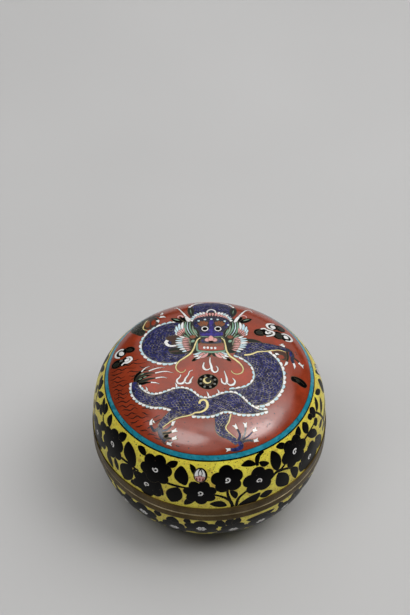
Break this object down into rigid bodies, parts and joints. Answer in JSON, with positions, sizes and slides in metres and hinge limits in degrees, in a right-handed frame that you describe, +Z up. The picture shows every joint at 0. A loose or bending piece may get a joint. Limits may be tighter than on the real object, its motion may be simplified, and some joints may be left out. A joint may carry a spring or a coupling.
{
  "type": "cloisonne enamel box",
  "caption": "Round covered box of cloisonne enamel on copper: a domed lift-off lid on a rounded base with brass rims and a brass foot ring.",
  "frame": {"origin": "centre of the foot ring's underside", "axes": "+Z up along the box's axis; -Y towards the viewer, the side the picture on the lid faces"},
  "size_m": [0.104, 0.104, 0.0775],
  "materials": {
    "lid_enamel": "polished vitreous enamel, gloss",
    "base_enamel": "polished vitreous enamel, gloss",
    "brass": "aged gilt brass, dulled"
  },
  "bodies": {
    "root": {"base_body": "base_enamel", "base_rim": "brass", "foot_ring": "brass", "lid_body": "lid_enamel", "lid_rim": "brass"}
  },
  "joints": []
}
